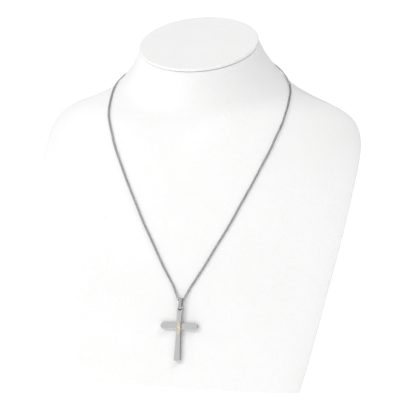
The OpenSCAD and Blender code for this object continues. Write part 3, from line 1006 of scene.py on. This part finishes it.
def metal(name, color, rough_low, rough_high, scale, stretch=(1, 1, 1), scratch=0.0):
    """A metal whose roughness wanders between two values on a noise of that scale."""
    material, nodes, links, shader = new_material(name)
    fill(shader, {"Base Color": (*color, 1), "Metallic": 1})
    where = add_node(nodes, "ShaderNodeTexCoord")
    pull = add_node(nodes, "ShaderNodeMapping", {"Scale": stretch})
    noise = add_node(nodes, "ShaderNodeTexNoise", {"Scale": scale, "Detail": 4})
    spread = add_node(nodes, "ShaderNodeMapRange", {"From Min": NOISE_LOW,
                                                    "From Max": NOISE_HIGH,
                                                    "To Min": rough_low,
                                                    "To Max": rough_high})
    join(links,
         (where.outputs["Object"], pull.inputs["Vector"]),
         (pull.outputs["Vector"], noise.inputs["Vector"]),
         (noise.outputs["Fac"], spread.inputs["Value"]),
         (spread.outputs["Result"], shader.inputs["Roughness"]))
    if scratch:
        bump = add_node(nodes, "ShaderNodeBump", {"Strength": scratch,
                                                  "Distance": SCRATCH_DEPTH * MM})
        join(links,
             (noise.outputs["Fac"], bump.inputs["Height"]),
             (bump.outputs["Normal"], shader.inputs["Normal"]))
    return material


bright_steel = metal("bright steel", (0.5, 0.5, 0.51), 0.14, 0.24, 900)
satin_steel = metal("satin steel", (0.61, 0.61, 0.615), 0.22, 0.28, 5000,
                    stretch=(1, 1, 0.05), scratch=0.06)
# The chain is the bright steel with a darker colour: painted shade for the shade between its
# links.
chain_steel_painted_shade = metal("chain steel with painted shade", (0.43, 0.43, 0.44), 0.14, 0.24, 900)
pale_gold = metal("pale gold", (0.79, 0.69, 0.52), 0.16, 0.26, 1200)
for piece, material in ((chain, chain_steel_painted_shade), (bail, bright_steel), (clasp, bright_steel),
                        (cross, satin_steel), (plate, pale_gold)):
    wear(piece, material)
print("Metals: bright, satin and chain steel with painted shade, and pale gold")

# %% [markdown]
# ## The clear stone
#
# The stone is clear and bends light far more than glass does, which is where its flashes
# come from. No facet is polished perfectly, so a very faint haze wanders over them.

# %% Make the clear stone
gem, nodes, links, glass = new_material("clear stone")
fill(glass, {"Base Color": (0.97, 0.98, 1, 1), "IOR": 2.2, "Transmission Weight": 1})
where = add_node(nodes, "ShaderNodeTexCoord")
polish = add_node(nodes, "ShaderNodeTexNoise", {"Scale": 3000, "Detail": 2})
haze = add_node(nodes, "ShaderNodeMapRange", {"To Min": 0.01, "To Max": 0.05})
join(links,
     (where.outputs["Object"], polish.inputs["Vector"]),
     (polish.outputs["Fac"], haze.inputs["Value"]),
     (haze.outputs["Result"], glass.inputs["Roughness"]))
wear(stone, gem)
print("Finishes:", ", ".join(m.name for m in bpy.data.materials))

# %% [markdown]
# ## The floor
#
# The photograph is high key, white on white. Such pictures are taken on a light table:
# the floor glows a little itself, so its shadows almost vanish. The glow could come from
# lights under a glass floor. A plain floor with some light of its own does the same.

# %% Lay the floor
FLOOR_HALF = 20

floor = bpy.data.objects.new("floor", bpy.data.meshes.new("floor"))
floor.data.from_pydata([(-FLOOR_HALF, -FLOOR_HALF, 0), (FLOOR_HALF, -FLOOR_HALF, 0),
                        (FLOOR_HALF, FLOOR_HALF, 0), (-FLOOR_HALF, FLOOR_HALF, 0)], [],
                       [(0, 1, 2, 3)])
bpy.context.scene.collection.objects.link(floor)
floor_white, nodes, links, paint = new_material("floor white")
fill(paint, {"Base Color": (0.55, 0.55, 0.55, 1), "Roughness": 0.8,
             "Emission Color": (1, 1, 1, 1), "Emission Strength": 0.7})
wear(floor, floor_white)
print("Floor:", 2 * FLOOR_HALF, "m across")

# %% [markdown]
# ## The lights
#
# Two softboxes do the work. The key light, from the upper left, throws the soft shadows
# to the right and downward. A second one above, on the right, lifts the top of the neck
# and the right shoulder, which the photograph shows almost as white as the rest. A sun
# would be simpler, but its shadows are hard.

# %% Hang the softboxes
def softbox(name, place_mm, aim_mm, size, power):
    """A round softbox, placed and aimed in millimetres, its size in metres."""
    lamp = bpy.data.lights.new(name, "AREA")
    lamp.shape, lamp.size, lamp.energy = "DISK", size, power
    box = bpy.data.objects.new(name, lamp)
    bpy.context.scene.collection.objects.link(box)
    box.location = Vector(place_mm) * MM
    aim = Vector(aim_mm) - Vector(place_mm)
    box.rotation_euler = aim.to_track_quat("-Z", "Y").to_euler()


softbox("key", (-1100, -1050, 1050), (0, -40, 110), size=0.6, power=6.3)
softbox("top", (700, -300, 1350), (0, 0, 220), size=0.6, power=5.6)

# %% [markdown]
# ## The studio round it
#
# The studio is bright on the left and in front, and dark on the right. White leatherette
# hardly shows that, but metal does. The faces of the cross mirror the bright side, and
# its right edges mirror the dark one, which draws their dark outline. Black and white
# cards could be stood round the cross as a photographer would do. Painting the world
# itself has the same effect and leaves nothing in the camera's way. The view is set to
# Standard, because the usual one would turn the whites grey.

# %% Paint the world
BRIGHT_SIDE = (-0.3, -0.9, 0.3)
DARK_SIDE = (0.95, -0.25, 0.1)


def brightness_toward(nodes, links, direction, low, high, away, ahead):
    """Brightness that goes from away to ahead as a ray leans toward the direction."""
    toward = add_node(nodes, "ShaderNodeTexCoord")
    lean = add_node(nodes, "ShaderNodeVectorMath", {1: Vector(direction).normalized()},
                    operation="DOT_PRODUCT")
    spread = add_node(nodes, "ShaderNodeMapRange", {"From Min": low, "From Max": high,
                                                    "To Min": away, "To Max": ahead},
                      interpolation_type="SMOOTHSTEP")
    join(links,
         (toward.outputs["Generated"], lean.inputs[0]),
         (lean.outputs["Value"], spread.inputs["Value"]))
    return spread.outputs["Result"]


world = bpy.data.worlds.new("studio")
world.use_nodes = True
nodes, links = world.node_tree.nodes, world.node_tree.links
bright = brightness_toward(nodes, links, BRIGHT_SIDE, low=-0.2, high=0.8, away=0.5,
                           ahead=0.86)
dark = brightness_toward(nodes, links, DARK_SIDE, low=0.5, high=0.88, away=1, ahead=0.05)
both = add_node(nodes, "ShaderNodeMath", operation="MULTIPLY")
sky = nodes["Background"]
fill(sky, {"Color": (1, 1, 1, 1)})
join(links,
     (bright, both.inputs[0]),
     (dark, both.inputs[1]),
     (both.outputs["Value"], sky.inputs["Strength"]))
bpy.context.scene.world = world
bpy.context.scene.view_settings.view_transform = "Standard"
print("World:", world.name)
